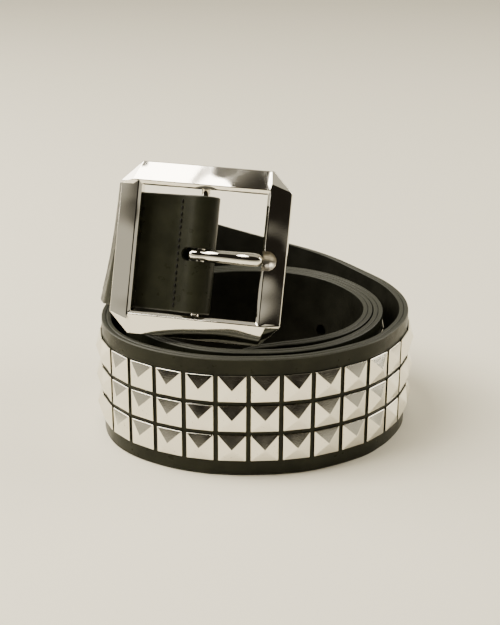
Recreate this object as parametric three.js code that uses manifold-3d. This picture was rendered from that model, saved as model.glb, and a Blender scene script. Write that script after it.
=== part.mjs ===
// A studded leather belt, rolled up: a black strap of two plies coils outwards from its plain,
// punched tip, carries three rows of square pyramid studs on its outside, rises over its own
// coil in the last turn and folds round the centre bar of a square metal buckle.
// Millimetres, +Z up. The strap's lower edge stands on Z = 0 and the origin lies under the middle
// of the whole rolled belt; the coil's own axis stands a little in front of it.
import * as THREE from 'three';
import Module from 'manifold-3d';
import { ConvexGeometry } from 'three/addons/geometries/ConvexGeometry.js';
import { mergeVertices } from 'three/addons/utils/BufferGeometryUtils.js';

const wasm = await Module();
wasm.setup();

// Strap
const belt_width = 44;
const buckle_end_width = 40.6;
const face_ply = 1.5;
const lining_ply = 1.6;
const ply_gap = 0.3;

// Studs
const stud_rows = 3;
const stud_columns = 44;
const stud_side = 9.7;
const stud_pitch = 11.2;
const stud_rim = 0.8;
const stud_height = 2.7;

// Coil
const core_radius = 42;
const wrap_gap = 0.3;
const plain_tip = 333;
const tip_turn = -840;
const last_turn = 180;
const coil_right = -0.36;
const coil_back = -6.63;

// Holes for the prong in the plain tip
const hole_count = 5;
const hole_pitch = 25.4;
const hole_diameter = 5;
const middle_hole_from_tip = 122;

// Buckle frame
const window_side = 44;
const bar_width = 8.15;
const bevel_width = 1.2;
const bevel_depth = 1;
const frame_depth = 5.3;
const rim_depth = 2;
const corner_cut = 7.1;
const ridge_run_out = 0.7;
const buckle_yaw = -11;
const buckle_pitch = -20;
const buckle_roll = 5.5;
const buckle_across = -0.46;
const buckle_forward = -0.662;
const strap_drop = 0.8;

// Centre bar, prong and the fold of strap that holds them
const bar_diameter = 3;
const bar_back = 0.6;
const bar_seat_depth = 3.5;
const running_gap = 0.3;
const prong_thickness = 4.3;
const eye_wall = 2.1;
const prong_past_window = 0.5;
const rod_above_eye = 1.6;
const slot_side_gap = 0.5;
const slot_reach = 3.2;
const seat_spare = 1.35;
const seat_past_window = 2.3;
const seat_forward = 0.2;
const fold_length = 18.8;

// Smoothness of the faceted solids
const turn_step = 10;
const path_samples = 3000;
const longest_facet = 9;
const sharpest_facet = 12;
const pin_sides = 14;
const rod_sides = 12;

// The innermost turn: its radius as a share of the core radius
const FIRST_TURN = [
  { turn: -840, reach: 0.895 },
  { turn: -810, reach: 0.881 },
  { turn: -780, reach: 0.910 },
  { turn: -750, reach: 0.969 },
  { turn: -720, reach: 1.002 },
  { turn: -690, reach: 0.993 },
  { turn: -660, reach: 0.998 },
  { turn: -630, reach: 0.986 },
  { turn: -600, reach: 1.019 },
  { turn: -570, reach: 1.062 },
  { turn: -540, reach: 1.107 },
  { turn: -510, reach: 1.117 },
  { turn: -480, reach: 1.081 },
];

// The later turns: the air to the turn inside (share of the core radius), how far the strap is
// lifted (share of the belt width) and how far its top edge leans outwards (degrees)
const LATER_TURNS = [
  { turn: -480, air: 0.098, lift: 0, lean: 0 },
  { turn: -450, air: 0.069, lift: 0, lean: 0 },
  { turn: -420, air: 0.060, lift: 0, lean: 0 },
  { turn: -390, air: 0.019, lift: 0, lean: 0 },
  { turn: -360, air: 0.001, lift: 0, lean: 0 },
  { turn: -300, air: 0.001, lift: 0, lean: 0 },
  { turn: -240, air: 0.004, lift: 0, lean: 0 },
  { turn: -210, air: 0.031, lift: 0, lean: 0 },
  { turn: -195, air: 0.057, lift: 0, lean: 0 },
  { turn: -180, air: 0.102, lift: 0, lean: 0 },
  { turn: -150, air: 0.140, lift: 0, lean: 0 },
  { turn: -120, air: 0.088, lift: 0, lean: 0 },
  { turn: -90, air: 0.052, lift: 0, lean: 0 },
  { turn: -60, air: 0.050, lift: 0, lean: 0 },
  { turn: -30, air: 0.033, lift: 0, lean: 0 },
  { turn: 0, air: 0.079, lift: 0, lean: 0 },
  { turn: 30, air: 0.055, lift: 0.004, lean: 4 },
  { turn: 45, air: 0.012, lift: 0.010, lean: 8 },
  { turn: 60, air: 0.004, lift: 0.042, lean: 12 },
  { turn: 90, air: 0.006, lift: 0.168, lean: 17 },
  { turn: 115, air: 0.010, lift: 0.366, lean: 16 },
  { turn: 135, air: 0.020, lift: 0.630, lean: 8 },
  { turn: 150, air: 0.012, lift: 0.825, lean: 0 },
  { turn: 160, air: -0.044, lift: 0.960, lean: -8 },
  { turn: 170, air: -0.180, lift: 1.030, lean: -12 },
  { turn: 180, air: -0.245, lift: 1.046, lean: -14 },
];

// Where the strap bends round into the buckle, as shares of half the frame's side, and how far
// its top edge leans to the right there (degrees)
const BEND = [
  { right: -1.055, back: 0.42, lean: 9 },
  { right: -1.010, back: 0.27, lean: 6 },
];

// The strap's run from under the frame's left side to the bar: how far left of the bar (share of
// half the window) and how far its two layers have spread apart to pass round the bar
const FOLD = [
  { left: 1.155, spread: 0 },
  { left: 0.8, spread: 0 },
  { left: 0.545, spread: 0 },
  { left: 0.364, spread: 0 },
  { left: 0.164, spread: 0.5 },
];

// The prong's centre line: how far along its reach, and how far it sinks from its crest there
// (share of its thickness)
const PRONG_LINE = [
  { along: 0, sink: 0.2 },
  { along: 0.22, sink: 0 },
  { along: 0.52, sink: 0.07 },
  { along: 0.8, sink: 0.1 },
  { along: 1, sink: 0.2 },
];

// The tip's outline: how far from its end (share of the belt width) and how wide it is there
const TIP = [
  { from_end: 0, wide: 0.16 },
  { from_end: 0.03, wide: 0.36 },
  { from_end: 0.12, wide: 0.60 },
  { from_end: 0.28, wide: 0.83 },
  { from_end: 0.48, wide: 0.96 },
  { from_end: 0.70, wide: 1 },
];

const wall = face_ply + ply_gap + lining_ply;
const half_window = window_side / 2;
const half_frame = half_window + bar_width;
const half_ridge = half_window + bevel_width;
const front = rim_depth - frame_depth;
const rim_front = 0;
const frame_back = rim_depth;
const bar_radius = bar_diameter / 2;
const rad = THREE.MathUtils.degToRad;

// A smooth value between the rows of a table that rises in turn
function along(rows, column, turn) {
  const last = rows.length - 1;
  let i = 0;
  while (i < last - 1 && rows[i + 1].turn < turn) {
    i += 1;
  }
  const slope = (j) => {
    const before = rows[Math.max(j - 1, 0)];
    const after = rows[Math.min(j + 1, last)];
    return (after[column] - before[column]) / (after.turn - before.turn);
  };
  const span = rows[i + 1].turn - rows[i].turn;
  const t = THREE.MathUtils.clamp((turn - rows[i].turn) / span, 0, 1);
  const ease = t * t * (3 - 2 * t);
  const leave = span * slope(i) * t * (1 - t) * (1 - t);
  const arrive = span * slope(i + 1) * t * t * (t - 1);
  return rows[i][column] * (1 - ease) + rows[i + 1][column] * ease + leave + arrive;
}

// The buckle's own frame: X to the viewer's right, Y to the back, Z up along its side
function buckleOutline() {
  const h = half_frame;
  const c = h - corner_cut;
  return [[-c, h], [c, h], [h, c], [h, -c], [c, -h], [-c, -h], [-h, -c], [-h, c]];
}

function placeBuckle() {
  const turned = new THREE.Matrix4().makeRotationFromEuler(
    new THREE.Euler(rad(buckle_pitch), rad(buckle_roll), rad(buckle_yaw), 'YXZ'));
  let lowest = Infinity;
  for (const [x, z] of buckleOutline()) {
    for (const y of [front, frame_back]) {
      lowest = Math.min(lowest, new THREE.Vector3(x, y, z).applyMatrix4(turned).z);
    }
  }
  const place = new THREE.Vector3(
    buckle_across * core_radius, buckle_forward * core_radius, belt_width + wrap_gap - lowest);
  return turned.setPosition(place);
}

const buckle = placeBuckle();
const inBuckle = (right, back, up = 0) => new THREE.Vector3(right, back, up).applyMatrix4(buckle);

// The strap's run through the buckle: it passes close behind the left side of the frame, in
// front of the bar, round it, and lies back on itself
function foldRun() {
  const fold_radius = bar_radius + running_gap + wall / 2;
  const half_pair = (wall + ply_gap) / 2;
  const corner = Math.hypot(half_window, frame_back - bar_back);
  const fall = Math.atan2(frame_back - bar_back, half_window)
    + Math.asin((half_pair + wall / 2 + 2 * running_gap) / corner);
  const at = (left, forward) => [
    -left * Math.cos(fall) - forward * Math.sin(fall),
    bar_back + left * Math.sin(fall) - forward * Math.cos(fall),
  ];
  const apart = (row) => THREE.MathUtils.lerp(half_pair, fold_radius, row.spread);
  const run = BEND.map((row) => [row.right * half_frame, row.back * half_frame, row.lean]);
  for (const row of FOLD) {
    run.push(at(row.left * half_window, apart(row)));
  }
  for (let angle = 90; angle >= -90; angle -= 30) {
    run.push(at(-fold_radius * Math.cos(rad(angle)), fold_radius * Math.sin(rad(angle))));
  }
  for (const row of FOLD.toReversed()) {
    if (row.left * half_window < fold_length) {
      run.push(at(row.left * half_window, -apart(row)));
    }
  }
  run.push(at(fold_length, -half_pair));
  return run;
}

// The strap's middle line, from the tip to the end of the fold, with the way its width points
function middleLine() {
  const points = [];
  const upright = [];
  const reaches = [];
  const runs = [];
  const turns_back = Math.round(360 / turn_step);
  for (let turn = tip_turn; turn <= last_turn; turn += turn_step) {
    const inner = reaches.length - turns_back;
    const lift = along(LATER_TURNS, 'lift', turn);
    const lean = rad(along(LATER_TURNS, 'lean', turn));
    let reach = core_radius * along(FIRST_TURN, 'reach', turn);
    if (turn >= LATER_TURNS[0].turn) {
      const studded = THREE.MathUtils.smoothstep(runs[inner], plain_tip - belt_width / 2, plain_tip);
      reach = reaches[inner] + wall + wrap_gap + studded * stud_height
        + Math.max(0, Math.sin(lean)) * belt_width / 2
        + core_radius * along(LATER_TURNS, 'air', turn);
    }
    const out = new THREE.Vector3(Math.cos(rad(turn)), Math.sin(rad(turn)), 0);
    const point = out.clone().multiplyScalar(reach).setZ(belt_width * (lift + 0.5));
    const step = points.length ? point.distanceTo(points[points.length - 1]) : 0;
    runs.push(points.length ? runs[runs.length - 1] + step : 0);
    reaches.push(reach);
    points.push(point);
    upright.push(out.multiplyScalar(Math.sin(lean)).setZ(Math.cos(lean)));
  }
  for (const [right, back, lean = 0] of foldRun()) {
    points.push(inBuckle(right, back, -strap_drop));
    upright.push(new THREE.Vector3(Math.sin(rad(lean)), 0, Math.cos(rad(lean))).transformDirection(buckle));
  }
  return { middle: new THREE.CatmullRomCurve3(points), upright: new THREE.CatmullRomCurve3(upright) };
}

// Frames along the strap, with the run measured along its outer face
function strapFrames() {
  const { middle, upright } = middleLine();
  const frames = [];
  for (let i = 0; i <= path_samples; i += 1) {
    const t = i / path_samples;
    const tangent = middle.getTangent(t);
    const up = upright.getPoint(t);
    up.addScaledVector(tangent, -up.dot(tangent)).normalize();
    const out = tangent.clone().cross(up).normalize();
    const point = middle.getPoint(t);
    const face = point.clone().addScaledVector(out, wall / 2);
    const run = i ? frames[i - 1].run + face.distanceTo(frames[i - 1].face) : 0;
    frames.push({ point, face, out, up, run });
  }
  return frames;
}

const frames = strapFrames();
const strap_length = frames[path_samples].run;
const studs_end = plain_tip + stud_columns * stud_pitch;
const taper_end = strap_length - 2 * fold_length - belt_width;

function frameAt(run) {
  let low = 0;
  let high = path_samples;
  while (high - low > 1) {
    const mid = (low + high) >> 1;
    if (frames[mid].run <= run) {
      low = mid;
    } else {
      high = mid;
    }
  }
  const [a, b] = [frames[low], frames[high]];
  const t = THREE.MathUtils.clamp((run - a.run) / (b.run - a.run), 0, 1);
  return {
    run,
    point: a.point.clone().lerp(b.point, t),
    out: a.out.clone().lerp(b.out, t).normalize(),
    up: a.up.clone().lerp(b.up, t).normalize(),
  };
}

// How wide the strap is at a run: pointed at the tip, narrower by the buckle
function widthAt(run) {
  const from_end = run / belt_width;
  let share = 1;
  for (let i = 0; i + 1 < TIP.length; i += 1) {
    const [a, b] = [TIP[i], TIP[i + 1]];
    if (from_end >= a.from_end && from_end < b.from_end) {
      share = THREE.MathUtils.mapLinear(from_end, a.from_end, b.from_end, a.wide, b.wide);
    }
  }
  const taper = THREE.MathUtils.smoothstep(run, studs_end, taper_end);
  return share * THREE.MathUtils.lerp(belt_width, buckle_end_width, taper);
}

// Runs at which the strap has a section: at the studs' edges, and by its bends elsewhere
function plainRuns(from, to) {
  const start = frameAt(from);
  const runs = [];
  let last = start;
  for (const frame of frames) {
    if (frame.run <= from || frame.run >= to - 1) {
      continue;
    }
    const bend = THREE.MathUtils.radToDeg(frame.out.angleTo(last.out));
    if (frame.run - last.run > longest_facet || bend > sharpest_facet) {
      runs.push(frame.run);
      last = frame;
    }
  }
  return runs;
}

function sectionRuns() {
  const runs = TIP.map((row) => row.from_end * belt_width);
  runs.push(...plainRuns(runs[runs.length - 1], plain_tip));
  for (let column = 0; column < stud_columns; column += 1) {
    const left = plain_tip + column * stud_pitch;
    runs.push(left, left + stud_side);
  }
  runs.push(...plainRuns(runs[runs.length - 1], strap_length), strap_length);
  return runs;
}

// Triangles are gathered as loose corners and joined afterwards
class Skin {
  constructor() {
    this.corners = [];
  }

  triangle(a, b, c) {
    this.corners.push(...a, ...b, ...c);
  }

  quad(a, b, c, d) {
    this.triangle(a, b, c);
    this.triangle(a, c, d);
  }

  geometry() {
    const geometry = new THREE.BufferGeometry();
    geometry.setAttribute('position', new THREE.Float32BufferAttribute(this.corners, 3));
    return geometry;
  }
}

// A point of the strap: a run, a height over its middle and a distance out from its middle
function strapPoint(frame, height, outward) {
  return frame.point.clone().addScaledVector(frame.up, height).addScaledVector(frame.out, outward);
}

// A four-sided stud on the base a, b, c, d: an upright rim and a low pyramid
function addStud(skin, a, b, c, d) {
  const out = b.clone().sub(a).cross(d.clone().sub(a)).normalize();
  const base = [a, b, c, d];
  const rim = base.map((corner) => corner.clone().addScaledVector(out, stud_rim));
  const peak = new THREE.Vector3();
  base.forEach((corner) => peak.addScaledVector(corner, 0.25));
  peak.addScaledVector(out, stud_height);
  for (let i = 0; i < 4; i += 1) {
    const j = (i + 1) % 4;
    skin.quad(base[i], base[j], rim[j], rim[i]);
    skin.triangle(rim[i], rim[j], peak);
  }
}

// One ply of the strap between two distances from its middle, with the studs on it if asked
function plyGeometry(inner, outer, studded) {
  const skin = new Skin();
  const row_edges = [];
  for (let row = 0; row < stud_rows; row += 1) {
    const centre = (row - (stud_rows - 1) / 2) * stud_pitch;
    row_edges.push(centre - stud_side / 2, centre + stud_side / 2);
  }
  const levels = studded ? [-belt_width / 2, ...row_edges, belt_width / 2] : [-belt_width / 2, belt_width / 2];
  const sections = sectionRuns().map((run) => {
    const frame = frameAt(run);
    const narrow = widthAt(run) / belt_width;
    return {
      run,
      outside: levels.map((level) => strapPoint(frame, level * narrow, outer)),
      low: strapPoint(frame, -belt_width / 2 * narrow, inner),
      high: strapPoint(frame, belt_width / 2 * narrow, inner),
    };
  });
  const top = levels.length - 1;
  for (let i = 0; i + 1 < sections.length; i += 1) {
    const [a, b] = [sections[i], sections[i + 1]];
    const column = (a.run - plain_tip) / stud_pitch;
    const whole = Math.abs(column - Math.round(column)) < 1e-6;
    const on_column = studded && whole && column > -0.5 && column < stud_columns - 0.5;
    for (let k = 0; k < top; k += 1) {
      const corners = [a.outside[k], b.outside[k], b.outside[k + 1], a.outside[k + 1]];
      if (on_column && k % 2 === 1) {
        addStud(skin, ...corners);
      } else {
        skin.quad(...corners);
      }
    }
    skin.quad(a.outside[top], b.outside[top], b.high, a.high);
    skin.quad(b.high, b.low, a.low, a.high);
    skin.quad(a.low, b.low, b.outside[0], a.outside[0]);
  }
  capEnd(skin, sections[0], top, false);
  capEnd(skin, sections[sections.length - 1], top, true);
  return skin.geometry();
}

// Closes the strap's end with a fan
function capEnd(skin, section, top, far) {
  const ring = [...section.outside, section.high, section.low];
  for (let k = 1; k + 1 < ring.length; k += 1) {
    if (far) {
      skin.triangle(ring[0], ring[k + 1], ring[k]);
    } else {
      skin.triangle(ring[0], ring[k], ring[k + 1]);
    }
  }
}

function solid(geometry) {
  const bare = geometry.clone();
  bare.deleteAttribute('normal');
  bare.deleteAttribute('uv');
  const merged = mergeVertices(bare, 1e-4);
  return new wasm.Manifold(new wasm.Mesh({
    numProp: 3,
    vertProperties: new Float32Array(merged.attributes.position.array),
    triVerts: new Uint32Array(merged.index.array),
  }));
}

function shape(manifold) {
  const mesh = manifold.getMesh();
  const geometry = new THREE.BufferGeometry();
  geometry.setAttribute('position', new THREE.BufferAttribute(mesh.vertProperties, 3));
  geometry.setIndex(new THREE.BufferAttribute(mesh.triVerts, 1));
  const flat = geometry.toNonIndexed();
  flat.computeVertexNormals();
  return flat;
}

// The prong's slot through the fold, and the punched holes of the tip
function slotCutter() {
  const slot = prong_thickness + 2 * slot_side_gap;
  const deep = 8 * wall;
  const fold_reach = bar_radius + running_gap + 2 * wall;
  const cut = new THREE.BoxGeometry(slot_reach + fold_reach, deep, slot);
  cut.translate((fold_reach - slot_reach) / 2, bar_back, 0);
  const end = new THREE.CylinderGeometry(slot / 2, slot / 2, deep, pin_sides);
  end.translate(-slot_reach, bar_back, 0);
  const cutter = solid(cut).add(solid(end)).translate([0, 0, -strap_drop]);
  return solid(shape(cutter).applyMatrix4(buckle));
}

function holeCutters() {
  const cutters = [];
  for (let i = 0; i < hole_count; i += 1) {
    const run = middle_hole_from_tip + (i - (hole_count - 1) / 2) * hole_pitch;
    const frame = frameAt(run);
    const punch = new THREE.CylinderGeometry(hole_diameter / 2, hole_diameter / 2, wall * 1.5, pin_sides);
    punch.applyQuaternion(new THREE.Quaternion().setFromUnitVectors(new THREE.Vector3(0, 1, 0), frame.out));
    punch.translate(frame.point.x, frame.point.y, frame.point.z);
    cutters.push(solid(punch));
  }
  return cutters;
}

function cutPly(geometry) {
  let ply = solid(geometry);
  for (const cutter of [slotCutter(), ...holeCutters()]) {
    ply = ply.subtract(cutter);
  }
  return shape(ply);
}

// One side of the frame: a broad facet slopes from the ridge to the rim, a narrow bevel to the
// window, and its left end runs out over the corner
function frameSide() {
  const ridge_start = -half_frame + ridge_run_out * (half_frame - half_ridge);
  const cut = half_frame - corner_cut;
  const bevel = front + bevel_depth;
  const corners = [
    [ridge_start, front, half_ridge], [half_ridge, front, half_ridge],
    [ridge_start, bevel, half_window], [half_ridge, bevel, half_window],
    [-half_frame, rim_front, half_window], [-half_frame, rim_front, cut],
    [-cut, rim_front, half_frame], [cut, rim_front, half_frame],
    [-half_frame, frame_back, half_window], [-half_frame, frame_back, cut],
    [-cut, frame_back, half_frame], [cut, frame_back, half_frame],
    [half_ridge, frame_back, half_window],
  ];
  return solid(new ConvexGeometry(corners.map((corner) => new THREE.Vector3(...corner))));
}

// The rounded seat in the right side where the prong's end lies
const prong_radius = prong_thickness / 2;
const seat_radius = prong_radius + seat_spare;
const seat_middle = front - seat_forward;
const seat_right = half_window + seat_past_window;

function seatCutter() {
  const ball = new THREE.SphereGeometry(seat_radius, pin_sides, pin_sides / 2);
  ball.translate(seat_right, seat_middle, 0);
  const trough = new THREE.CylinderGeometry(seat_radius, seat_radius, bar_width, pin_sides);
  trough.rotateZ(Math.PI / 2);
  trough.translate(seat_right - bar_width / 2, seat_middle, 0);
  return solid(ball).add(solid(trough)).translate([0, 0, -strap_drop]);
}

function barCylinder(radius, seated) {
  const bar = new THREE.CylinderGeometry(radius, radius, window_side + 2 * seated, pin_sides);
  bar.rotateX(Math.PI / 2);
  bar.translate(0, bar_back, 0);
  return solid(bar);
}

function frameGeometry() {
  let frame = frameSide();
  for (let quarter = 1; quarter < 4; quarter += 1) {
    frame = frame.add(frameSide().rotate([0, quarter * 90, 0]));
  }
  frame = frame.subtract(seatCutter());
  return shape(frame.subtract(barCylinder(bar_radius + running_gap, bar_seat_depth + running_gap)));
}

// The prong: a round rod with an eye that turns on the bar, slightly bent, its end in the seat
function prongGeometry() {
  const eye_radius = bar_radius + running_gap + eye_wall;
  const eye = new THREE.CylinderGeometry(eye_radius, eye_radius, prong_thickness, 2 * pin_sides);
  eye.rotateX(Math.PI / 2);
  eye.translate(0, bar_back, 0);
  const tip_right = half_window + prong_past_window - prong_radius;
  const crest = bar_back - eye_radius - rod_above_eye + prong_radius;
  const points = PRONG_LINE.map(
    (row) => new THREE.Vector3(row.along * tip_right, crest + row.sink * prong_thickness, 0));
  const line = new THREE.CatmullRomCurve3(points);
  const round = new THREE.Shape().absarc(0, 0, prong_radius, 0, Math.PI * 2);
  const rod = new THREE.ExtrudeGeometry(round, { steps: 10, extrudePath: line, curveSegments: rod_sides });
  const ball = new THREE.SphereGeometry(prong_radius, rod_sides, rod_sides / 2);
  ball.rotateZ(-Math.PI / 2);
  ball.translate(tip_right, points[points.length - 1].y, 0);
  const turned = solid(eye).add(solid(rod)).add(solid(ball)).translate([0, 0, -strap_drop]);
  return shape(turned.subtract(barCylinder(bar_radius + running_gap, 0)));
}

function piece(name, geometry, finish) {
  const mesh = new THREE.Mesh(geometry, new THREE.MeshStandardMaterial(finish));
  mesh.name = name;
  return mesh;
}

const leather = { color: 0x1b1b14, roughness: 0.35, metalness: 0 };
const lining = { color: 0x22221a, roughness: 0.5, metalness: 0 };
const chrome = { color: 0xd8d8d2, roughness: 0.12, metalness: 1 };

const belt = new THREE.Group();
belt.add(piece('studded_face', cutPly(plyGeometry(wall / 2 - face_ply, wall / 2, true)), leather));
belt.add(piece('strap_lining', cutPly(plyGeometry(-wall / 2, lining_ply - wall / 2, false)), lining));

const metalwork = new THREE.Group();
metalwork.applyMatrix4(buckle);
metalwork.add(piece('buckle_frame', frameGeometry(), chrome));
metalwork.add(piece('centre_bar', shape(barCylinder(bar_radius, bar_seat_depth)), chrome));
metalwork.add(piece('prong', prongGeometry(), chrome));
belt.add(metalwork);
belt.position.set(coil_right, coil_back, 0);

export default belt;
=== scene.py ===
"""The looks of a rolled studded belt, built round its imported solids. Metres, +Z up."""
import math

import bmesh
import bpy
import numpy as np
from mathutils import Matrix, Vector


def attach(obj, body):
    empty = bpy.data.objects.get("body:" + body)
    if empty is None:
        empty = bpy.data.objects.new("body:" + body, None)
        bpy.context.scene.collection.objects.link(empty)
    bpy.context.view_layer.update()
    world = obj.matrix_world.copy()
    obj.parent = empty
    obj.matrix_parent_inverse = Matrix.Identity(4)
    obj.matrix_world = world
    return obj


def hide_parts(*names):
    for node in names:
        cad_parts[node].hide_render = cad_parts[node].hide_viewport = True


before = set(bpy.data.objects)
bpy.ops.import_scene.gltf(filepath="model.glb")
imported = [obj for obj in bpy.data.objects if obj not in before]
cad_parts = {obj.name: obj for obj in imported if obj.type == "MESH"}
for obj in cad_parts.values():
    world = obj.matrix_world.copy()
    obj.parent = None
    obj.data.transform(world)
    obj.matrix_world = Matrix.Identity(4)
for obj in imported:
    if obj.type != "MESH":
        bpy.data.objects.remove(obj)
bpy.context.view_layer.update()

# The strap's face: one long strip of black top-coated leather, 44 mm wide. It is cut flat with its
# pointed tip, punched, skived at its edges, then rolled up from the tip, lifted over its own roll
# and folded round the buckle's bar.
# Lengths are in millimetres, and turn into metres where a mesh is put in its place.
MM = 0.001
strap_width = 44
buckle_end_width = 40.6
wall = 3.4
wrap_gap = 0.3
core_radius = 42
plain_tip = 333
stud_columns = 44
stud_pitch = 11.2
stud_height = 2.7
bar_back = 0.6
bar_radius = 1.5
running_gap = 0.3
layer_gap = 0.3
strap_drop = 0.8
half_window = 22
half_frame = 30.15
frame_back = 2
fold_length = 18.8
slot_reach = 3.2
slot_width = 4.6
hole_count = 5
hole_middle = 122
hole_pitch = 25.4
hole_radius = 2.5
punch_depth = 12
rolled_at = np.array((-0.36, -6.63, 0))
turn_step = 10
last_turn = 180

# The innermost turn: angle in degrees, radius as a share of the core radius
FIRST_TURN = [
    (-840, 0.895), (-810, 0.881), (-780, 0.910), (-750, 0.969), (-720, 1.002), (-690, 0.993),
    (-660, 0.998), (-630, 0.986), (-600, 1.019), (-570, 1.062), (-540, 1.107), (-510, 1.117),
    (-480, 1.081),
]

# The later turns: angle, air to the turn inside (share of the core radius), lift (share of the
# strap's width), outward lean of the top edge in degrees
LATER_TURNS = [
    (-480, 0.098, 0, 0), (-450, 0.069, 0, 0), (-420, 0.060, 0, 0), (-390, 0.019, 0, 0),
    (-360, 0.001, 0, 0), (-300, 0.001, 0, 0), (-240, 0.004, 0, 0), (-210, 0.031, 0, 0),
    (-195, 0.057, 0, 0), (-180, 0.102, 0, 0), (-150, 0.140, 0, 0), (-120, 0.088, 0, 0),
    (-90, 0.052, 0, 0), (-60, 0.050, 0, 0), (-30, 0.033, 0, 0), (0, 0.079, 0, 0),
    (30, 0.055, 0.004, 4), (45, 0.012, 0.010, 8), (60, 0.004, 0.042, 12),
    (90, 0.006, 0.168, 17), (115, 0.010, 0.366, 16), (135, 0.020, 0.630, 8),
    (150, 0.012, 0.825, 0), (160, -0.044, 0.960, -8), (170, -0.180, 1.030, -12),
    (180, -0.245, 1.046, -14),
]

# The bend into the buckle: shares of half the frame's side to the right and back, lean in degrees
BEND = [(-1.055, 0.42, 9), (-1.010, 0.27, 6)]

# The run to the bar: share of half the window left of the bar, spread of the two layers
FOLD = [(1.155, 0), (0.8, 0), (0.545, 0), (0.364, 0), (0.164, 0.5)]

# The tip: distance from its end and width there, as shares of the strap's width
TIP = [(0, 0.16), (0.03, 0.36), (0.12, 0.60), (0.28, 0.83), (0.48, 0.96), (0.70, 1)]

# The buckle's place over the roll: its middle in millimetres, its turns in degrees
buckle_middle = (-19.68, -34.434, 73.878)
buckle_roll = 5.5
buckle_pitch = -20
buckle_yaw = -11
buckle_turn = (
    Matrix.Rotation(math.radians(buckle_roll), 4, "Y")
    @ Matrix.Rotation(math.radians(buckle_pitch), 4, "X")
    @ Matrix.Rotation(math.radians(buckle_yaw), 4, "Z")
)
buckle_place = Matrix.Translation(buckle_middle) @ buckle_turn


def in_buckle(right, back, up):
    """A place in the buckle's own frame, counted from the roll's axis."""
    return np.array(buckle_place @ Vector((right, back, up))) - rolled_at


def along(rows, column, turn):
    """A smooth value between the rows of a table, by the turn in its first column."""
    last = len(rows) - 1
    i = 0
    while i < last - 1 and rows[i + 1][0] < turn:
        i += 1

    def slope(j):
        before, after = rows[max(j - 1, 0)], rows[min(j + 1, last)]
        return (after[column] - before[column]) / (after[0] - before[0])

    span = rows[i + 1][0] - rows[i][0]
    t = min(max((turn - rows[i][0]) / span, 0), 1)
    ease = t * t * (3 - 2 * t)
    leave = span * slope(i) * t * (1 - t) ** 2
    arrive = span * slope(i + 1) * t * t * (t - 1)
    return rows[i][column] * (1 - ease) + rows[i + 1][column] * ease + leave + arrive


def ease_between(value, low, high):
    """0 below the low value, 1 above the high one, and a smooth rise between."""
    t = np.clip((value - low) / (high - low), 0, 1)
    return t * t * (3 - 2 * t)


def fold_run():
    """The strap's middle through the buckle, as (right, back, lean) in the buckle's own frame."""
    fold_radius = bar_radius + running_gap + wall / 2
    half_pair = (wall + layer_gap) / 2
    corner = math.hypot(half_window, frame_back - bar_back)
    fall = math.atan2(frame_back - bar_back, half_window)
    fall += math.asin((half_pair + wall / 2 + 2 * running_gap) / corner)

    def at(left, forward):
        return (
            -left * math.cos(fall) - forward * math.sin(fall),
            bar_back + left * math.sin(fall) - forward * math.cos(fall),
            0,
        )

    def apart(spread):
        return half_pair + (fold_radius - half_pair) * spread

    run = [(right * half_frame, back * half_frame, lean) for right, back, lean in BEND]
    run += [at(left * half_window, apart(spread)) for left, spread in FOLD]
    for angle in range(90, -91, -30):
        a = math.radians(angle)
        run.append(at(-fold_radius * math.cos(a), fold_radius * math.sin(a)))
    for left, spread in reversed(FOLD):
        if left * half_window < fold_length:
            run.append(at(left * half_window, -apart(spread)))
    run.append(at(fold_length, -half_pair))
    return run


same_place = 1e-4


def smooth_curve(points, shares):
    """Points of one smooth curve through all the given points, at shares 0 to 1 of its spans."""
    held = np.array(points, float)
    held = np.vstack([2 * held[0] - held[1], held, 2 * held[-1] - held[-2]])
    place = np.clip(shares, 0, 1) * (len(points) - 1)
    i = np.minimum(place.astype(int), len(points) - 2)
    t = (place - i)[:, None]
    p0, p1, p2, p3 = (held[i + k] for k in range(4))
    d0, d1, d2 = (
        np.sqrt(np.linalg.norm(b - a, axis=1))[:, None] for a, b in ((p0, p1), (p1, p2), (p2, p3))
    )
    d1 = np.where(d1 < same_place, 1, d1)
    d0 = np.where(d0 < same_place, d1, d0)
    d2 = np.where(d2 < same_place, d1, d2)
    leave = ((p1 - p0) / d0 - (p2 - p0) / (d0 + d1) + (p2 - p1) / d1) * d1
    arrive = ((p2 - p1) / d1 - (p3 - p1) / (d1 + d2) + (p3 - p2) / d2) * d1
    ease = t * t * (3 - 2 * t)
    return p1 * (1 - ease) + p2 * ease + leave * t * (1 - t) ** 2 + arrive * t * t * (t - 1)


def unit(rows):
    """The rows of a table of vectors, each made one long."""
    return rows / np.linalg.norm(rows, axis=1)[:, None]


path_samples = 3001
path_nudge = 1e-4


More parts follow.
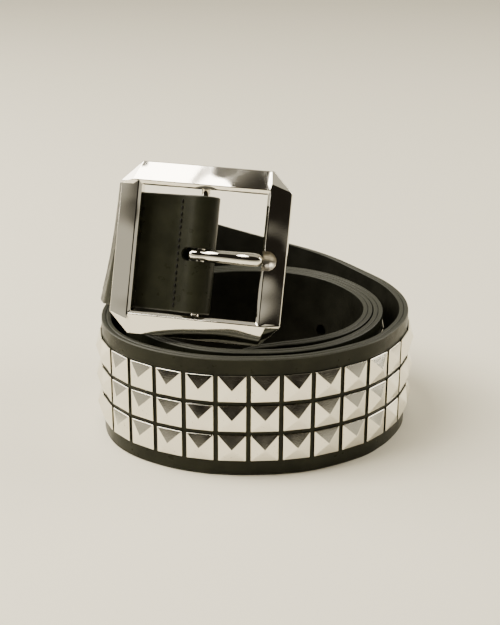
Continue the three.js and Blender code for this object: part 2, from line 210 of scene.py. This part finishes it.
def roll_up():
    """The rolled strap's middle line, its outward and upward ways, and the run along its face."""
    points, upright, reaches, runs = [], [], [], []
    for turn in range(FIRST_TURN[0][0], last_turn + 1, turn_step):
        a = math.radians(turn)
        lift, lean = along(LATER_TURNS, 2, turn), math.radians(along(LATER_TURNS, 3, turn))
        reach = core_radius * along(FIRST_TURN, 1, turn)
        if turn >= LATER_TURNS[0][0]:
            inner = len(reaches) - 360 // turn_step
            studded = ease_between(runs[inner], plain_tip - strap_width / 2, plain_tip)
            reach = reaches[inner] + wall + wrap_gap + studded * stud_height
            reach += max(0, math.sin(lean)) * strap_width / 2
            reach += core_radius * along(LATER_TURNS, 1, turn)
        out = np.array((math.cos(a), math.sin(a), 0))
        point = out * reach + np.array((0, 0, strap_width * (lift + 0.5)))
        runs.append(runs[-1] + np.linalg.norm(point - points[-1]) if points else 0)
        reaches.append(reach)
        points.append(point)
        upright.append(out * math.sin(lean) + np.array((0, 0, math.cos(lean))))
    for right, back, lean in fold_run():
        a = math.radians(lean)
        points.append(in_buckle(right, back, -strap_drop))
        upright.append(np.array(buckle_turn @ Vector((math.sin(a), 0, math.cos(a)))))
    shares = np.linspace(0, 1, path_samples)
    middle = smooth_curve(points, shares)
    ahead, behind = (smooth_curve(points, shares + step) for step in (path_nudge, -path_nudge))
    tangent = unit(ahead - behind)
    up = smooth_curve(upright, shares)
    up = unit(up - tangent * np.sum(up * tangent, axis=1)[:, None])
    out = np.cross(tangent, up)
    face = middle + out * wall / 2
    run = np.concatenate([[0], np.cumsum(np.linalg.norm(np.diff(face, axis=0), axis=1))])
    return middle + rolled_at, out, up, run


path_middle, path_out, path_up, path_run = roll_up()
strap_length = path_run[-1]
studs_end = plain_tip + stud_columns * stud_pitch


def rolled(run, height, outward):
    """Flat strap places (run, height over the middle, distance outward) on the rolled strap."""
    middle, out, up = (
        np.stack([np.interp(run, path_run, rows[:, k]) for k in range(3)], axis=1)
        for rows in (path_middle, path_out, path_up)
    )
    return (middle + unit(up) * height[:, None] + unit(out) * outward[:, None]) * MM


def width_share(run):
    """The strap's width at each run along it, as a share of its full width."""
    tip = np.interp(run, [row[0] * strap_width for row in TIP], [row[1] for row in TIP])
    taper_end = strap_length - 2 * fold_length - strap_width
    return tip * (1 + (buckle_end_width / strap_width - 1) * ease_between(run, studs_end, taper_end))


def punched(solid, cutters):
    """A copy of a flat solid with the cutters taken out of it."""
    holder, punch = (bpy.data.objects.new(n, m) for n, m in (("flat", solid), ("punch", cutters)))
    for made in (holder, punch):
        bpy.context.scene.collection.objects.link(made)
    cut = holder.modifiers.new("punch", "BOOLEAN")
    cut.operation, cut.solver, cut.object, cut.use_self = "DIFFERENCE", "EXACT", punch, True
    seen = holder.evaluated_get(bpy.context.evaluated_depsgraph_get())
    mesh = bpy.data.meshes.new_from_object(seen)
    for made in (holder, punch):
        bpy.data.objects.remove(made)
    return mesh


# The strap's end that is searched for the bar
buckle_end = 2.6 * fold_length


def beside_bar(right, in_front):
    """The run where the strap's layer before or behind the bar passes this far right of it."""
    turned = np.array(buckle_place.inverted())
    across = path_middle @ turned[0, :3] + turned[0, 3]
    fold = np.flatnonzero(path_run > strap_length - buckle_end)
    bend = fold[0] + np.argmax(across[fold])
    span = np.arange(fold[0], bend) if in_front else np.arange(bend, len(across))
    return path_run[span[np.argmin(np.abs(across[span] - right))]]


def strap_punches():
    """The five round holes of the tip and the prong's long slot in the fold."""
    punches = bmesh.new()
    slot_ends = beside_bar(-slot_reach, True), beside_bar(-slot_reach, False)
    rounds = [(run, slot_width / 2) for run in slot_ends]
    for i in range(hole_count):
        rounds.append((hole_middle + (i - (hole_count - 1) / 2) * hole_pitch, hole_radius))
    for run, radius in rounds:
        bmesh.ops.create_cone(
            punches, cap_ends=True, segments=32, radius1=radius, radius2=radius, depth=punch_depth,
            matrix=Matrix.Translation((run, 0, 0)))
    slot = Matrix.Diagonal((slot_ends[1] - slot_ends[0], slot_width, punch_depth, 1))
    bmesh.ops.create_cube(punches, size=1, matrix=Matrix.Translation((sum(slot_ends) / 2, 0, 0)) @ slot)
    mesh = bpy.data.meshes.new("punches")
    punches.to_mesh(mesh)
    punches.free()
    return mesh


# Where the cut strap is divided: close steps round the tip, 1.6 mm along it, 0.7 mm in the fold
tip_steps = (0, 0.25, 0.7, 1.3, 2.1, 3.2, 4.4, 5.8, 7.4, 9.2, 11.2, 13.5, 16, 19, 22, 26, 30)
roll_step = 1.6
fold_step = 0.7
skived_edge = 0.5
shortest_step = 0.2
punched_half_width = 6
edge_band = 0.56
end_band = 0.6
# In radians: a cut edge is steeper than the first, and a shaded crease than the second
cut_angle = 1.2
crease_angle = 0.7


def cut_ply(name, inner, outer, punches):
    """One ply of the strap between two distances from its middle: cut, punched, edged and rolled."""
    fold_start = strap_length - 4 * fold_length
    sections = np.concatenate([
        np.array(tip_steps), np.arange(tip_steps[-1] + roll_step, fold_start, roll_step),
        np.arange(fold_start, strap_length - shortest_step, fold_step), [strap_length]])
    ply = bmesh.new()
    bmesh.ops.create_grid(ply, x_segments=len(sections) - 1, y_segments=1, size=0.5)
    for vert in ply.verts:
        vert.co.x = sections[round((vert.co.x + 0.5) * (len(sections) - 1))]
        vert.co.y *= strap_width * float(width_share(vert.co.x))
        vert.co.z = inner
    grown = bmesh.ops.extrude_face_region(ply, geom=list(ply.faces))
    for vert in grown["geom"]:
        if isinstance(vert, bmesh.types.BMVert):
            vert.co.z = outer
    bmesh.ops.recalc_face_normals(ply, faces=ply.faces)
    flat = bpy.data.meshes.new(name)
    ply.to_mesh(flat)
    flat = punched(flat, punches)
    ply.clear()
    ply.from_mesh(flat)
    edges = [
        e for e in ply.edges
        if e.is_manifold and e.calc_face_angle() > cut_angle
        and (min(abs(v.co.y) for v in e.verts) > punched_half_width or max(v.co.x for v in e.verts) < 1
             or min(v.co.x for v in e.verts) > strap_length - 0.1)
        and abs(e.verts[0].co.z - e.verts[1].co.z) < 0.1]
    bmesh.ops.bevel(
        ply, geom=edges, offset=skived_edge, segments=4, profile=0.5, affect="EDGES", material=-1)
    for face in ply.faces:
        face.smooth = True
        centre = face.calc_center_median()
        # side and end faces take the edge material, whose paler grey is a painted highlight of the overhead
        # light
        side = abs(centre.y) > strap_width * float(width_share(centre.x)) / 2 - edge_band
        face.material_index = int(side or centre.x < end_band or centre.x > strap_length - end_band)
    for edge in ply.edges:
        edge.smooth = edge.is_manifold and edge.calc_face_angle() < crease_angle
    flat_places = np.array([v.co for v in ply.verts])
    for vert, place in zip(ply.verts, rolled(*flat_places.T)):
        vert.co = place
    mesh = bpy.data.meshes.new(name)
    ply.to_mesh(mesh)
    ply.free()
    made = bpy.data.objects.new(name, mesh)
    bpy.context.scene.collection.objects.link(made)
    made.modifiers.new("even_shading", "WEIGHTED_NORMAL").keep_sharp = True
    return made


def linear(hex_colour):
    """An sRGB hex colour as linear RGBA."""
    parts = [int(hex_colour[i:i + 2], 16) / 255 for i in (1, 3, 5)]
    return [c / 12.92 if c <= 0.04045 else ((c + 0.055) / 1.055) ** 2.4 for c in parts] + [1]


def add(material, kind, sockets=(), **settings):
    """Adds a node with its settings, and its sockets set to values or linked to other sockets."""
    made = material.node_tree.nodes.new(kind)
    for name, value in settings.items():
        setattr(made, name, value)
    for socket, value in dict(sockets).items():
        if isinstance(value, bpy.types.NodeSocket):
            material.node_tree.links.new(value, made.inputs[socket])
        else:
            made.inputs[socket].default_value = value
    return made


def finish_of(name, **sockets):
    """A new material whose shader has these values."""
    material = bpy.data.materials.new(name)
    material.use_nodes = True
    shader = material.node_tree.nodes["Principled BSDF"]
    for socket, value in sockets.items():
        shader.inputs[socket.replace("_", " ")].default_value = value
    return material, shader


def coated_leather(name, dark, light, smoothest, roughest, grain):
    """Top-coated leather: a glossy film over a fine pebbled grain, uneven in colour and shine."""
    material, shader = finish_of(name, IOR=1.48, Specular_IOR_Level=0.12)
    place = add(material, "ShaderNodeTexCoord").outputs["Object"]
    # hide mottling, patches about 9 mm across
    mottle = add(material, "ShaderNodeTexNoise", {"Vector": place, "Scale": 110, "Detail": 3})
    colour = add(material, "ShaderNodeValToRGB", {"Fac": mottle.outputs["Fac"]})
    colour.color_ramp.elements[0].position = 0.32
    colour.color_ramp.elements[0].color = linear(dark)
    colour.color_ramp.elements[1].position = 0.72
    colour.color_ramp.elements[1].color = linear(light)
    # rubbing marks, 3 mm across
    rubs = add(material, "ShaderNodeTexNoise", {"Vector": place, "Scale": 330, "Detail": 5})
    shine = add(material, "ShaderNodeMapRange", {
        "Value": rubs.outputs["Fac"], "From Min": 0.3, "From Max": 0.7,
        "To Min": smoothest, "To Max": roughest})
    # pebbled grain: the real one is 0.3 mm, drawn 0.6 mm across to show
    pebbles = add(material, "ShaderNodeTexVoronoi", {"Vector": place, "Scale": 1650})
    hair = add(material, "ShaderNodeTexNoise", {"Vector": place, "Scale": 2400, "Detail": 4})
    relief = add(material, "ShaderNodeMix", {
        "Factor": 0.35, "A": pebbles.outputs["Distance"], "B": hair.outputs["Fac"]})
    bump = add(material, "ShaderNodeBump", {
        "Strength": grain, "Distance": 0.00008, "Height": relief.outputs["Result"]})
    for socket, value in (("Base Color", colour.outputs["Color"]), ("Roughness", shine.outputs["Result"]),
                          ("Normal", bump.outputs["Normal"])):
        material.node_tree.links.new(value, shader.inputs[socket])
    return material


def burnished_edge_with_painted_light(name):
    """The strap's cut edge: dyed, waxed and rubbed down, duller than the coat; its paler grey tone is a
    painted highlight of the overhead light on the upward-facing edges.
    """
    material, shader = finish_of(name, IOR=1.45)
    place = add(material, "ShaderNodeTexCoord").outputs["Object"]
    # fibres of the cut hide, streaks 0.7 mm apart along the roll
    fibres = add(material, "ShaderNodeTexNoise", {
        "Vector": place, "Scale": 1400, "Detail": 6, "Roughness": 0.65})
    # the fibre streaks are real; the ramp's colours, paler and greyer than the face leather, are a painted
    # highlight of the overhead light on the edges
    colour = add(material, "ShaderNodeValToRGB", {"Fac": fibres.outputs["Fac"]})
    colour.color_ramp.elements[0].position = 0.3
    colour.color_ramp.elements[0].color = linear("#23241D")
    colour.color_ramp.elements[1].position = 0.75
    colour.color_ramp.elements[1].color = linear("#3A3B31")
    shine = add(material, "ShaderNodeMapRange", {
        "Value": fibres.outputs["Fac"], "From Min": 0.3, "From Max": 0.7, "To Min": 0.42, "To Max": 0.62})
    bump = add(material, "ShaderNodeBump", {
        "Strength": 0.5, "Distance": 0.00012, "Height": fibres.outputs["Fac"]})
    for socket, value in (("Base Color", colour.outputs["Color"]), ("Roughness", shine.outputs["Result"]),
                          ("Normal", bump.outputs["Normal"])):
        material.node_tree.links.new(value, shader.inputs[socket])
    return material


# Half the dark line of glue that shows between the two plies
half_glue_line = 0.06
punches = strap_punches()
face_leather = coated_leather("top_coated_leather", "#1A1B13", "#27281E", 0.26, 0.40, 0.35)
edge_leather = burnished_edge_with_painted_light("burnished_leather_edge_painted_light")
strap_face = cut_ply("strap_face", half_glue_line, wall / 2, punches)
strap_face.data.materials.append(face_leather)
strap_face.data.materials.append(edge_leather)
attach(strap_face, "belt")

# The strap's lining: a second strip of black leather glued behind the face, flesh side in, cut to
# the same outline and punched with it. Its finish is flatter than the face's.
strap_lining = cut_ply("strap_back", -wall / 2, -half_glue_line, punches)
strap_lining.data.materials.append(coated_leather("satin_leather", "#14140F", "#20201A", 0.34, 0.50, 0.5))
strap_lining.data.materials.append(edge_leather)
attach(strap_lining, "belt")
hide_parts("strap_lining")

# The studs: square pyramids pressed from thin steel sheet and chrome plated, held by bent legs, in
# three rows all round the studded length. One is pressed, and the rest are struck from it.
stud_side = 9.7
stud_rim = 0.8
stud_rounding = 0.16
stud_sunk = 0.02
stud_press = bmesh.new()
bmesh.ops.create_grid(stud_press, x_segments=1, y_segments=1, size=stud_side / 2)
grown = bmesh.ops.extrude_face_region(stud_press, geom=list(stud_press.faces))
roof = [f for f in grown["geom"] if isinstance(f, bmesh.types.BMFace)]
bmesh.ops.translate(
    stud_press, vec=(0, 0, stud_rim), verts=[v for v in grown["geom"] if isinstance(v, bmesh.types.BMVert)])
bmesh.ops.recalc_face_normals(stud_press, faces=stud_press.faces)
bmesh.ops.poke(stud_press, faces=roof, offset=stud_height - stud_rim)
bmesh.ops.bevel(
    stud_press, geom=[e for e in stud_press.edges if max(v.co.z for v in e.verts) > 0.1],
    offset=stud_rounding, segments=2, profile=0.5, affect="EDGES", material=-1)
for face in stud_press.faces:
    face.smooth = True
one_stud = bpy.data.meshes.new("one_stud")
stud_press.to_mesh(one_stud)
stud_press.clear()
for column in range(stud_columns):
    left = plain_tip + column * stud_pitch
    for row in (-1, 0, 1):
        ends = rolled(
            np.array((left, left + stud_side)), np.full(2, row * stud_pitch),
            np.full(2, wall / 2 - stud_sunk))
        above, below = (
            rolled(np.array((left + stud_side / 2,)), np.array((row * stud_pitch + by,)), np.array((0,)))
            for by in (1, -1))
        across = Vector(ends[1] - ends[0]).normalized()
        outward = across.cross(Vector(above[0] - below[0])).normalized()
        upward = outward.cross(across)
        seat = Matrix([(*row_of, place) for row_of, place in zip(
            zip(across * MM, upward * MM, outward * MM), Vector(ends.mean(axis=0)))] + [(0, 0, 0, 1)])
        struck = one_stud.copy()
        struck.transform(seat)
        stud_press.from_mesh(struck)
        bpy.data.meshes.remove(struck)
stud_mesh = bpy.data.meshes.new("pyramid_studs")
stud_press.to_mesh(stud_mesh)
stud_press.free()
studs = bpy.data.objects.new("pyramid_studs", stud_mesh)
bpy.context.scene.collection.objects.link(studs)
studs.modifiers.new("even_shading", "WEIGHTED_NORMAL").keep_sharp = True


speck_fade = 0.08


def chrome_plate(name, colour, smoothest, roughest, pits, speck_level, wave):
    """Bright chrome plate: a near mirror with faint haze, small pits and the waves of polishing."""
    material, shader = finish_of(name, Metallic=1)
    place = add(material, "ShaderNodeTexCoord").outputs["Object"]
    # haze, patches 5 mm across
    haze = add(material, "ShaderNodeTexNoise", {"Vector": place, "Scale": 200, "Detail": 4})
    shine = add(material, "ShaderNodeMapRange", {
        "Value": haze.outputs["Fac"], "From Min": 0.3, "From Max": 0.7,
        "To Min": smoothest, "To Max": roughest})
    # pits and specks: the real ones are 0.1 mm, drawn 0.3 mm across to show
    specks = add(material, "ShaderNodeTexNoise", {"Vector": place, "Scale": 1900, "Detail": 2})
    dots = add(material, "ShaderNodeMapRange", {
        "Value": specks.outputs["Fac"], "From Min": speck_level, "From Max": speck_level + speck_fade})
    plate = add(material, "ShaderNodeMix", {"Factor": dots.outputs["Result"]}, data_type="RGBA")
    plate.inputs[6].default_value = linear(colour)
    plate.inputs[7].default_value = linear("#8A7A58")
    fine = add(material, "ShaderNodeBump", {
        "Strength": pits, "Distance": 0.00004, "Height": specks.outputs["Fac"]})
    # waves left by the polishing wheel, 15 mm long
    waves = add(material, "ShaderNodeTexNoise", {"Vector": place, "Scale": 65, "Detail": 0})
    bump = add(material, "ShaderNodeBump", {
        "Strength": 1, "Distance": wave, "Height": waves.outputs["Fac"], "Normal": fine.outputs["Normal"]})
    for socket, value in (("Base Color", plate.outputs[2]), ("Roughness", shine.outputs["Result"]),
                          ("Normal", bump.outputs["Normal"])):
        material.node_tree.links.new(value, shader.inputs[socket])
    return material


studs.data.materials.append(chrome_plate("chrome_plated_sheet", "#EDE9DC", 0.09, 0.18, 0.25, 0.68, 0.0001))
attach(studs, "belt")
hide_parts("studded_face")

# The buckle's frame: one zinc casting, polished and chrome plated, a square with cut corners whose
# broad faces slope from a ridge to the rim. Its edges are rounded over by polishing, and the hollow
# cast for the prong's end is given a rougher, darker plate.
seat_behind = 3.5
seat_radius = 3.6
seat_left_end = 21
pin_seat_front = 2.5
polish_radius = 0.3
shortest_polished = 1
crease = math.radians(29)
still_sharp = math.radians(35)
weld = 2e-6
still_flat = math.radians(0.6)
casting = bmesh.new()
casting.from_mesh(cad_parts["buckle_frame"].data)
bmesh.ops.remove_doubles(casting, verts=casting.verts, dist=weld)
bmesh.ops.dissolve_limit(casting, angle_limit=still_flat, verts=casting.verts, edges=casting.edges)
from_buckle = buckle_place.inverted() @ Matrix.Scale(1 / MM, 4)
polished = []
for edge in casting.edges:
    ends = [from_buckle @ v.co for v in edge.verts]
    at_pin = any(abs(end.x) < 2 * bar_radius and end.y > -pin_seat_front for end in ends)
    shortest = min(e.calc_length() for v in edge.verts for e in v.link_edges)
    if edge.calc_face_angle() > crease and shortest > shortest_polished * MM and not at_pin:
        polished.append(edge)
bmesh.ops.bevel(
    casting, geom=polished, offset=polish_radius * MM, segments=3, profile=0.5, affect="EDGES",
    material=-1, clamp_overlap=False)
for face in casting.faces:
    face.smooth = True
for edge in casting.edges:
    edge.smooth = edge.calc_face_angle() < still_sharp
casting_mesh = bpy.data.meshes.new("buckle_casting")
casting.to_mesh(casting_mesh)
casting.free()
buckle_casting = bpy.data.objects.new("buckle_casting", casting_mesh)
bpy.context.scene.collection.objects.link(buckle_casting)
buckle_casting.modifiers.new("even_shading", "WEIGHTED_NORMAL").keep_sharp = True
buckle_chrome = chrome_plate("polished_chrome", "#F0ECE2", 0.03, 0.07, 0.04, 0.76, 0.0008)
buckle_casting.data.materials.append(buckle_chrome)
# the hollow for the prong's end takes a rougher plate, set darker than the polished chrome
buckle_casting.data.materials.append(chrome_plate("darker_seat_chrome", "#99948A", 0.3, 0.4, 0.3, 0.72, 0.0001))
corner_places = [from_buckle @ v.co for v in casting_mesh.vertices]
for face in casting_mesh.polygons:
    corners = [corner_places[i] for i in face.vertices]
    face.material_index = int(all(
        c.x > seat_left_end and math.hypot(c.y + seat_behind, c.z + strap_drop) < seat_radius
        for c in corners))
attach(buckle_casting, "belt")
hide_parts("buckle_frame")


def turned_into_buckle(mesh):
    """Places a mesh made in the buckle's own millimetre frame."""
    mesh.transform(Matrix.Diagonal((MM, MM, MM, 1)) @ buckle_place)


# The centre bar: a steel pin, 3 mm thick and chrome plated, cut from rod with chamfered ends. It is
# pressed into the frame above and below the strap, and carries the fold and the prong.
pin_seats = 7
pin_chamfer = 0.25
pin = bmesh.new()
bmesh.ops.create_cone(
    pin, cap_ends=True, segments=40, radius1=bar_radius, radius2=bar_radius,
    depth=2 * half_window + pin_seats, matrix=Matrix.Translation((0, bar_back, 0)))
bmesh.ops.bevel(
    pin, geom=[e for e in pin.edges if e.calc_face_angle() > 1], offset=pin_chamfer, segments=2,
    profile=0.5, affect="EDGES", material=-1)
for face in pin.faces:
    face.smooth = len(face.verts) < 5
pin_mesh = bpy.data.meshes.new("centre_pin")
pin.to_mesh(pin_mesh)
pin.free()
turned_into_buckle(pin_mesh)
centre_pin = bpy.data.objects.new("centre_pin", pin_mesh)
bpy.context.scene.collection.objects.link(centre_pin)
centre_pin.data.materials.append(buckle_chrome)
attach(centre_pin, "belt")
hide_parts("centre_bar")

# The prong: a chromed rod, thicker towards its rounded end, bent so that it dips behind its end,
# flattened at the root and curled round the bar. It swings on the bar.
# Columns: right, forward of the bar's middle, half thickness, half width
CROOK = [
    (22.4, 2.05, 0.25, 0.25), (22.25, 2.07, 0.9, 0.95), (21.6, 2.15, 1.65, 1.75), (20.4, 2.35, 2.15, 2.3),
    (18.6, 2.80, 2.3, 2.42), (16.4, 2.74, 2.2, 2.38), (14.0, 2.42, 2.1, 2.3), (11.5, 2.60, 2.1, 2.25),
    (9.0, 3.05, 2.1, 2.2), (6.5, 3.30, 2.0, 2.1), (4.3, 3.15, 1.75, 2.0), (2.2, 2.95, 1.35, 1.9),
    (0.6, 2.85, 1.08, 1.85),
]
curl_reach = 3.7
curl_rise = 2.85
curl_half_thickness = 1.05
curl_half_width = 1.85
near_end = 1.2
rod = bmesh.new()
stations = [(right, bar_back - forward, thick, wide, 0) for right, forward, thick, wide in CROOK]
for angle in range(-90, -361, -18):
    a = math.radians(angle)
    right, back = curl_reach * math.cos(a), bar_back + curl_rise * math.sin(a)
    stations.append((right, back, curl_half_thickness, curl_half_width, angle + 90))
ring = bmesh.ops.create_circle(rod, segments=24, radius=1)["verts"]
shape = [v.co.copy() for v in ring]
loop = list({e for v in ring for e in v.link_edges})
for number, (right, back, thick, wide, turned) in enumerate(stations):
    if number:
        grown = bmesh.ops.extrude_edge_only(rod, edges=loop)["geom"]
        ring = [v for v in grown if isinstance(v, bmesh.types.BMVert)]
        loop = [e for e in grown if isinstance(e, bmesh.types.BMEdge) and all(v in ring for v in e.verts)]
    a = math.radians(turned)
    for vert, flat in zip(ring, shape):
        out, up = -flat.y * thick, flat.x * wide
        vert.co = (right - out * math.sin(a), back + out * math.cos(a), up - strap_drop)
for end in (stations[0], stations[-1]):
    rim = [
        v for v in rod.verts
        if v.is_boundary and abs(v.co.x - end[0]) < near_end and abs(v.co.y - end[1]) < near_end]
    bmesh.ops.contextual_create(rod, geom=rim)
bmesh.ops.recalc_face_normals(rod, faces=rod.faces)
for face in rod.faces:
    face.smooth = True
rod_mesh = bpy.data.meshes.new("prong_rod")
rod.to_mesh(rod_mesh)
rod.free()
turned_into_buckle(rod_mesh)
prong_rod = bpy.data.objects.new("prong_rod", rod_mesh)
bpy.context.scene.collection.objects.link(prong_rod)
soft = prong_rod.modifiers.new("smooth_metal", "SUBSURF")
soft.levels = soft.render_levels = 1
prong_rod.data.materials.append(buckle_chrome)
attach(prong_rod, "prong")
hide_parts("prong")

# The stitches: one row of black waxed thread across the strap beside the bar, which closes the
# fold. Each shows as a short bead lying in the leather, on the front layer and on the one behind.
thread = bmesh.new()
stitch_left = 6.6
stitch_count = 17
stitch_pitch = 2.25
bead_half = (0.5, 0.8, 0.42)
for run in (beside_bar(-stitch_left, True), beside_bar(-stitch_left, False)):
    for i in range(stitch_count):
        height = (i - (stitch_count - 1) / 2) * stitch_pitch
        bead = bmesh.ops.create_uvsphere(thread, u_segments=8, v_segments=6, radius=1)["verts"]
        places = np.array([
            (run + v.co.x * bead_half[0], height + v.co.z * bead_half[1], wall / 2 + v.co.y * bead_half[2])
            for v in bead])
        for vert, place in zip(bead, rolled(*places.T)):
            vert.co = place
bmesh.ops.recalc_face_normals(thread, faces=thread.faces)
for face in thread.faces:
    face.smooth = True
thread_mesh = bpy.data.meshes.new("fold_stitches")
thread.to_mesh(thread_mesh)
thread.free()
fold_stitches = bpy.data.objects.new("fold_stitches", thread_mesh)
bpy.context.scene.collection.objects.link(fold_stitches)
fold_stitches.data.materials.append(coated_leather("waxed_thread", "#0B0B09", "#171713", 0.4, 0.6, 0.8))
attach(fold_stitches, "belt")

# The floor: a plain pale sheet of matt card, laid flat and reaching far past the belt on every
# side. It isn't part of the belt.
floor_half_side = 4
floor = bmesh.new()
bmesh.ops.create_grid(floor, x_segments=1, y_segments=1, size=floor_half_side)
floor_mesh = bpy.data.meshes.new("floor")
floor.to_mesh(floor_mesh)
floor.free()
floor_sheet = bpy.data.objects.new("floor", floor_mesh)
bpy.context.scene.collection.objects.link(floor_sheet)
card = finish_of("pale_card", Base_Color=linear("#F6F0DC"), Roughness=0.75)[0]
floor_sheet.data.materials.append(card)

# The light: soft boxes on both sides and overhead, in a pale room that is dark over the camera, so
# that each metal face shows either a pale or a dark part of the room.
# Columns: place, point it faces, width, height, watts
SOFT_BOXES = [
    ((-1.0, 0.25, 0.62), (0, 0, 0.05), 0.8, 0.8, 15),
    ((1.05, 0.25, 0.55), (0, 0, 0.05), 0.8, 0.8, 12),
    ((-0.71, -0.14, 1.15), (0, 0, 0.0), 0.7, 0.9, 26),
]
for number, (place, target, width, height, watts) in enumerate(SOFT_BOXES):
    lamp = bpy.data.lights.new(f"soft_box_{number}", "AREA")
    lamp.shape, lamp.size, lamp.size_y, lamp.energy = "RECTANGLE", width, height, watts
    lamp.color = linear("#FFF8EA")[:3]
    box = bpy.data.objects.new(lamp.name, lamp)
    box.location = place
    box.rotation_euler = (Vector(target) - Vector(place)).to_track_quat("-Z", "Y").to_euler()
    bpy.context.scene.collection.objects.link(box)
room = bpy.data.worlds.new("room")
room.use_nodes = True
way = add(room, "ShaderNodeSeparateXYZ", {"Vector": add(room, "ShaderNodeTexCoord").outputs["Generated"]})
over = add(room, "ShaderNodeMapRange", {
    "Value": way.outputs["Z"], "From Min": 0.175, "From Max": 0.265}, interpolation_type="SMOOTHSTEP")
forward = add(room, "ShaderNodeMapRange", {
    "Value": way.outputs["Y"], "From Min": 0.05, "From Max": -0.3}, interpolation_type="SMOOTHSTEP")
shade = add(room, "ShaderNodeMath", {
    0: over.outputs["Result"], 1: forward.outputs["Result"]}, operation="MULTIPLY")
walls = add(room, "ShaderNodeMix", {"Factor": shade.outputs["Value"]}, data_type="RGBA")
walls.inputs[6].default_value = linear("#E6DFCB")
walls.inputs[7].default_value = linear("#2A2620")
background = room.node_tree.nodes["Background"]
room.node_tree.links.new(walls.outputs[2], background.inputs["Color"])
background.inputs["Strength"].default_value = 0.74
bpy.context.scene.world = room

# The camera: a short telephoto on a full-frame body, in front of the belt and a little above it,
# looking down at it. Its place is in metres, its tilt in degrees from straight down.
focal_length = 74.3
sensor_width = 36
camera_place = (-0.00229, -0.45723, 0.2155)
camera_tilt = 68.85
camera_roll = 0.35
lens = bpy.data.cameras.new("camera")
lens.lens, lens.sensor_width = focal_length, sensor_width
camera = bpy.data.objects.new("camera", lens)
camera.matrix_world = (
    Matrix.Translation(camera_place)
    @ Matrix.Rotation(math.radians(camera_tilt), 4, "X")
    @ Matrix.Rotation(math.radians(camera_roll), 4, "Z")
)
bpy.context.scene.collection.objects.link(camera)
bpy.context.scene.camera = camera
